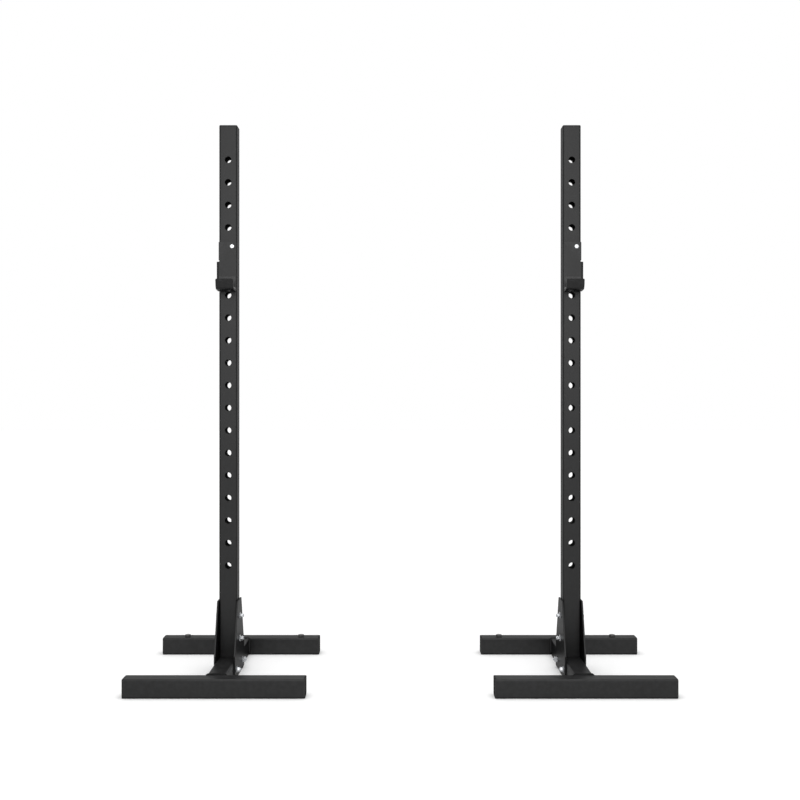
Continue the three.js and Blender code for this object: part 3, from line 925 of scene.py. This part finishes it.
def buildFootBolts(name):
    radius, across = footBolt["radius"], footBolt["across"]
    washer = across / 2 * footBolt["washerShare"]
    seat = nodeBox(name, "rear_foot")[1].z
    for spot in ("outer", "inner"):
        centre = nodeCentre(name, f"rear_foot_{spot}_bolt")
        height = nodeBox(name, f"rear_foot_{spot}_bolt")[1].z - seat
        rings = threadRings(radius, footBolt["pitch"], -footBolt["neck"], -footBolt["shank"])[::-1]
        rings += [ringOf(radius, 0.0), ringOf(washer, 0.0), ringOf(washer, footBolt["washerFace"])]
        rings += hexRings(across, footBolt["washerFace"], height)
        rings += dishRings(across, height, *footBolt["dish"])
        piece = loftPiece(f"{name}{spot.title()}FootBolt", rings)
        placeFastener(piece, Matrix.Translation((centre.x, centre.y, seat)))
        dress(piece, "stands", "black_oxide", f"{name}_rear_foot_{spot}_bolt")


# Cups. The bracket is one plate bent into a hook, with a wing bent back along the upright's outer side.

cup = {
    "plate": 6 * mm,
    "insideRadius": 10 * mm,
    "backGap": 3 * mm,  # from the upright's face to the plate's back
    "outerReach": 30 * mm,  # from the pin's centre to the plate's edge beside the wing
    "floorBelowPin": 140.5 * mm,
    "floorRise": 4 * mm,
    "reach": 72 * mm,  # from the upright's face to the foot of the lip
    "lipLean": 8 * mm,
    "lipHeight": 36 * mm,
    "plateCorner": 3 * mm,
    "lipCorner": 5 * mm,
    "edge": 0.9 * mm,
}
wing = {
    "insideRadius": 3 * mm,
    "overlap": 18 * mm,
    "topBelowPin": 40 * mm,
    "bottomRise": 18 * mm,
    "corner": 9 * mm,
    "relief": 2.5 * mm,
    "reliefCount": 32,
}


# The hook's outer face: down the plate, forward under the floor and up the lip
def hookPath(name):
    face = nodeBox(name, "upright")[0].y
    floor = nodeCentre(name, "cup_pin").z - cup["floorBelowPin"]
    back, toe = face - cup["backGap"], face - cup["reach"]
    return [
        Vector((back, nodeBox(name, "cup_bracket")[1].z)),
        Vector((back, floor)),
        Vector((toe, floor + cup["floorRise"])),
        Vector((toe - cup["lipLean"], floor + cup["lipHeight"])),
    ]


def cornerCutter(edge, direction, top, radius, front, back):
    inner, outer = edge - direction * radius, edge + direction * overrun
    corner = Vector((edge, top))
    arc = filletAt(Vector((inner, top)), corner, Vector((edge, top - radius)), radius, bendSteps)[1]
    outline = arc + [Vector((outer, top - radius)), Vector((outer, top + overrun)),
                     Vector((inner, top + overrun))]
    return prismPiece("corner", outline, "y", front - overrun, back + overrun)


# The wing's side view starts well in front of the plate, so only its rear corners are rounded
def buildWing(name, side, root, plateFront):
    low, high = nodeBox(name, "cup_bracket")
    pinHeight = nodeCentre(name, "cup_pin").z
    outer = low.x if side < 0 else high.x
    bottom = pinHeight - cup["floorBelowPin"] + wing["bottomRise"]
    top = pinHeight - wing["topBelowPin"]
    flange = prismPiece("flange", bentOutline([
        Vector((root, plateFront)), Vector((outer, plateFront)), Vector((outer, high.y)),
    ], cup["plate"], wing["insideRadius"]), "z", bottom, top)
    sideView = roundedOutline(rectangle(plateFront - 3 * wing["corner"], bottom, high.y, top), wing["corner"])
    reach = sorted((root - side * overrun, outer + side * overrun))
    combine(flange, [prismPiece("sideView", sideView, "x", *reach)], "INTERSECT")
    return flange, top


def buildBracket(name, side):
    low, high = nodeBox(name, "cup_bracket")
    path = hookPath(name)
    plateBack, plateFront = path[0].x, path[0].x - cup["plate"]
    innerEdge = high.x if side < 0 else low.x
    outerEdge = nodeCentre(name, "cup_pin").x + side * cup["outerReach"]
    left, right = sorted((innerEdge, outerEdge))
    sideView = bentOutline(path, cup["plate"], cup["insideRadius"])
    hook = prismPiece(f"{name}CupBracket", sideView, "x", left, right)
    flange, wingTop = buildWing(name, side, outerEdge - side * wing["overlap"], plateFront)
    combine(hook, [flange], "UNION")
    cutters = [rodPiece("relief", (outerEdge, wingTop + wing["relief"]), wing["relief"], "y",
                        plateFront - overrun, plateBack + overrun, wing["reliefCount"])]
    toe, lipEnd = path[2], path[3]
    lipTop = lipEnd.y + cup["plate"] * (toe.x - lipEnd.x) / (lipEnd - toe).length
    lipBack = toe.x + cup["plate"]
    for edge, direction in ((left, -1), (right, 1)):
        cutters.append(cornerCutter(edge, direction, high.z, cup["plateCorner"], plateFront, plateBack))
        cutters.append(cornerCutter(edge, direction, lipTop, cup["lipCorner"], lipEnd.x, lipBack))
    carve(hook, cutters)
    softenEdges(hook, cup["edge"])
    dress(hook, f"{name}_cup", "powder_coat", f"{name}_cup_bracket")


liner = {"thickness": 4 * mm, "insideRadius": 6.5 * mm, "lipInset": 2 * mm, "edge": 0.8 * mm}


# The liner lies in the hook, so its outer face is the hook's, drawn in
def buildLiner(name):
    low, high = nodeBox(name, "cup_liner")
    plateTop, heel, toe, lipEnd = hookPath(name)
    drawnIn = plateTop.x - high.y
    innerHeel = filletAt(plateTop, heel, toe, drawnIn, 1)[0]
    innerToe = filletAt(heel, toe, lipEnd, drawnIn, 1)[0]
    upTheLip = (lipEnd - toe).normalized()
    lipRun = (lipEnd.y - liner["lipInset"] - innerToe.y) / upTheLip.y
    outline = bentOutline([Vector((high.y, high.z)), innerHeel, innerToe, innerToe + upTheLip * lipRun],
                          liner["thickness"], liner["insideRadius"])
    piece = prismPiece(f"{name}CupLiner", outline, "x", low.x, high.x)
    softenEdges(piece, liner["edge"])
    dress(piece, f"{name}_cup", "liner", f"{name}_cup_liner")


padEdge = 0.4 * mm


def buildPad(name):
    low, high = nodeBox(name, "cup_pad")
    eye = nodeCentre(name, "cup_pin")
    outline = roundedOutline(rectangle(low.x, low.z, high.x, high.z), cup["plateCorner"])
    piece = prismPiece(f"{name}CupPad", outline, "y", low.y, high.y)
    carve(piece, [rodPiece("eye", (eye.x, eye.z), upright["holeWidth"] / 2, "y",
                           low.y - overrun, high.y + overrun)])
    softenEdges(piece, padEdge, segments=2)
    dress(piece, f"{name}_cup", "liner", f"{name}_cup_pad")


pin = {"frontEdge": 0.3 * mm, "endRound": 2.4 * mm, "endSteps": 6, "count": 64}


def buildPin(name):
    low, high = nodeBox(name, "cup_pin")
    centre = nodeCentre(name, "cup_pin")
    radius = (high.z - low.z) / 2
    edge, endRound = pin["frontEdge"], pin["endRound"]
    profile = [(radius - edge, low.y), (radius, low.y + edge), (radius, high.y - endRound)]
    for step in range(1, pin["endSteps"] + 1):
        turn = math.pi / 2 * step / pin["endSteps"]
        profile.append((radius - endRound * (1 - math.cos(turn)), high.y - endRound * (1 - math.sin(turn))))
    place = axisPoint["y"]
    rings = [[place(p.x, p.y, along) for p in circleOutline((centre.x, centre.z), reach, pin["count"])]
             for reach, along in profile]
    dress(loftPiece(f"{name}CupPin", rings), f"{name}_cup", "zinc", f"{name}_cup_pin")


padScrew = {
    "headRadius": 7.5 * mm,
    "headEdge": 0.3 * mm,
    "shankRadius": 3 * mm,
    "rim": 0.9 * mm,
    "shoulder": 0.9 * mm,  # the round between the head's rim and its shallow crown
    "shoulderTurn": 83,  # degrees
    "shoulderSteps": 7,
    "crown": 0.5 * mm,
    "crownSteps": 4,
    "socket": 4 * mm,
    "socketRim": 0.66,  # radius of the socket's mouth, for each unit of its width
    "socketEdge": 0.2 * mm,
    "socketDepth": 2.4 * mm,
    "socketTip": (0.2 * mm, 0.4 * mm),  # radius and depth of the drilled point
}


def screwHeadRings(height):
    radius, shoulder = padScrew["headRadius"], padScrew["shoulder"]
    edge, rim, crown = padScrew["headEdge"], padScrew["rim"], padScrew["crown"]
    rings = [ringOf(radius - edge, 0.0), ringOf(radius, edge)]
    rise = height - crown - rim
    fullTurn = math.radians(padScrew["shoulderTurn"])
    for step in range(padScrew["shoulderSteps"] + 1):
        turn = fullTurn * step / padScrew["shoulderSteps"]
        rings.append(ringOf(radius - shoulder * (1 - math.cos(turn)), rim + rise * math.sin(turn)))
    inner = radius - shoulder * (1 - math.cos(fullTurn))
    socketRim = padScrew["socket"] * padScrew["socketRim"]
    for step in range(1, padScrew["crownSteps"] + 1):
        share = step / padScrew["crownSteps"]
        lift = rim + rise + crown * (1 - (1 - share) ** 2)
        rings.append(ringOf(inner + (socketRim - inner) * share, lift))
    return rings


def buildScrew(name):
    low, high = nodeBox(name, "cup_screw")
    centre = nodeCentre(name, "cup_screw")
    plateFront = nodeBox(name, "upright")[0].y - cup["backGap"] - cup["plate"]
    headHeight = plateFront - low.y
    socketFloor = headHeight - padScrew["socketDepth"]
    tipRadius, tipDepth = padScrew["socketTip"]
    rings = [ringOf(padScrew["shankRadius"], plateFront - high.y), ringOf(padScrew["shankRadius"], 0.0)]
    rings += screwHeadRings(headHeight)
    for height in (headHeight - padScrew["socketEdge"], socketFloor):
        rings.append(ringOf(lambda turn: hexReach(turn, padScrew["socket"]), height))
    rings.append(ringOf(tipRadius, socketFloor - tipDepth))
    piece = loftPiece(f"{name}CupScrew", rings)
    seat = Matrix.Translation((centre.x, plateFront, centre.z))
    placeFastener(piece, seat @ Matrix.Rotation(math.pi / 2, 4, "X"))
    dress(piece, f"{name}_cup", "zinc", f"{name}_cup_screw")


for name, side in stands.items():
    buildUpright(name)
    for part in baseTubes:
        buildBaseTube(name, part)
    buildWeld(name, "Front")
    buildWeld(name, "Rear")
    buildCap(name, "upright_cap", "z", 1)
    for end in ("front", "rear"):
        buildCap(name, f"{end}_foot_outer_cap", "x", side)
        buildCap(name, f"{end}_foot_inner_cap", "x", -side)
    buildGusset(name, "outer")
    buildGusset(name, "inner")
    print("stage:", name, "frame built")
    buildClampBolts(name, side)
    buildFootBolts(name)
    print("stage:", name, "fasteners built")
    buildBracket(name, side)
    buildLiner(name)
    buildPad(name)
    buildPin(name)
    buildScrew(name)
    print("stage:", name, "cup built")

# Studio

studio = {
    "floorReach": 30.0,
    "floorColour": (0.80, 0.80, 0.80, 1),
    "floorNoise": (30.0, 3.0),
    "floorRoughness": (0.3, 0.7, 0.85, 0.95),
    "floorLift": (0.19, 0.55),  # the floor's own share of its white, at the stands and far from them
    "litReach": 7.0,  # metres from the stands within which the lamps brighten the floor
    "contactReach": 0.03,  # metres within which a painted contact shadow darkens the floor's own share near the feet
    "mirrorAhead": (-2.6, -1.0, 0.0, 1.0),  # where along Y polished faces start to see that share
    "mirrorBeside": (1.5, 3.0, 1.0, 0.0),  # and where along X they stop seeing it
    "ambient": 0.60,  # what matt faces get from all round
    "surround": 0.90,  # what polished faces see outside the white backdrop
    "backdrop": (0.70, 0.88),  # how far a direction points to the back where the white starts and is full
    "sideShade": 0.90,  # the share of both that is left at the sides
    "sides": (0.45, 0.85),  # how far a direction points sideways where that starts and is full
}


# The first value is one for rays that show the floor or the world as such, straight or in a polished face
def rayMask(tree):
    rays = addNode(tree, "ShaderNodeLightPath")
    seen = mathValue(tree, "MAXIMUM", rays.outputs["Is Camera Ray"], rays.outputs["Is Glossy Ray"])
    return mathValue(tree, "MAXIMUM", seen, rays.outputs["Is Transmission Ray"]), rays


def makeFloor():
    reach = studio["floorReach"]
    floor = addPiece("floor", [(x, y, 0) for x, y in rectangle(-reach, -reach, reach, reach)], [(0, 1, 2, 3)])
    material, tree, shader = nodeTree("paleFloor")
    shader.inputs["Base Color"].default_value = studio["floorColour"]
    place = objectPlace(tree)
    grain = noiseValue(tree, place, *studio["floorNoise"])
    tree.links.new(mapValue(tree, grain, *studio["floorRoughness"]), shader.inputs["Roughness"])
    spot = addNode(tree, "ShaderNodeSeparateXYZ", {0: place})
    ahead = mapValue(tree, spot.outputs["Y"], *studio["mirrorAhead"])
    sideways = mathValue(tree, "ABSOLUTE", spot.outputs["X"], 0.0)
    beside = mapValue(tree, sideways, *studio["mirrorBeside"])
    seen, rays = rayMask(tree)
    plain = mathValue(tree, "SUBTRACT", 1.0, rays.outputs["Is Glossy Ray"])
    inside = mathValue(tree, "MAXIMUM", mathValue(tree, "MULTIPLY", ahead, beside), plain)
    away = addNode(tree, "ShaderNodeVectorMath", {0: place}, operation="LENGTH").outputs["Value"]
    grown = mapValue(tree, away, 0.0, studio["litReach"], *studio["floorLift"])
    lift = mathValue(tree, "MULTIPLY", inside, grown)
    # Painted contact shadow: ambient occlusion darkens the floor's glow close to the feet
    paintedContactShade = addNode(tree, "ShaderNodeAmbientOcclusion", {"Distance": studio["contactReach"]}, samples=8)
    lift = mathValue(tree, "MULTIPLY", lift, paintedContactShade.outputs["AO"])
    glow = addNode(tree, "ShaderNodeEmission", {"Color": (1, 1, 1, 1), "Strength": lift})
    both = addNode(tree, "ShaderNodeAddShader", {0: shader.outputs[0], 1: glow.outputs[0]})
    choice = addNode(tree, "ShaderNodeMixShader", {0: seen, 1: shader.outputs[0], 2: both.outputs[0]})
    tree.links.new(choice.outputs[0], tree.nodes["Material Output"].inputs["Surface"])
    floor.data.materials.append(material)


# White to the camera. Polished faces see white behind the stands and slightly less elsewhere.
def makeWorld():
    world = bpy.data.worlds.new("studio")
    bpy.context.scene.world = world
    world.use_nodes = True
    tree = world.node_tree
    background = tree.nodes["Background"]
    seen, rays = rayMask(tree)
    outward = addNode(tree, "ShaderNodeTexCoord").outputs["Generated"]
    direction = addNode(tree, "ShaderNodeSeparateXYZ", {0: outward})
    sideways = mathValue(tree, "ABSOLUTE", direction.outputs["X"], 0.0)
    shade = mapValue(tree, sideways, *studio["sides"], 1.0, studio["sideShade"])
    backdrop = mapValue(tree, direction.outputs["Y"], *studio["backdrop"], studio["surround"], 1.0)
    level = addNode(tree, "ShaderNodeMix", {0: seen, 2: studio["ambient"], 3: backdrop}).outputs[0]
    level = mathValue(tree, "MULTIPLY", level, shade)
    strength = mathValue(tree, "MAXIMUM", level, rays.outputs["Is Camera Ray"])
    background.inputs["Color"].default_value = (1, 1, 1, 1)
    tree.links.new(strength, background.inputs["Strength"])


lamps = {  # place, aim and size in metres, spread in degrees, power in watts
    "front": {
        "place": (0.0, -5.6, 2.25), "aim": (0, 0, 1.1), "size": (5.0, 3.4), "spread": 90, "power": 34.5,
    },
    "above": {
        "place": (0.0, -0.4, 4.6), "aim": (0, 0, 0.5), "size": (3.6, 3.0), "spread": 180, "power": 110.0,
    },
}


def hangLamp(name, lamp):
    data = bpy.data.lights.new(name, "AREA")
    data.shape = "RECTANGLE"
    data.size, data.size_y = lamp["size"]
    data.spread = math.radians(lamp["spread"])
    data.energy = lamp["power"]
    hung = bpy.data.objects.new(name, data)
    hung.location = lamp["place"]
    hung.rotation_euler = (Vector(lamp["aim"]) - hung.location).to_track_quat("-Z", "Y").to_euler()
    bpy.context.scene.collection.objects.link(hung)


makeFloor()
makeWorld()
for lampName, lampValues in lamps.items():
    hangLamp(lampName, lampValues)
bpy.context.scene.view_settings.view_transform = "Standard"
print("stage: studio lit")
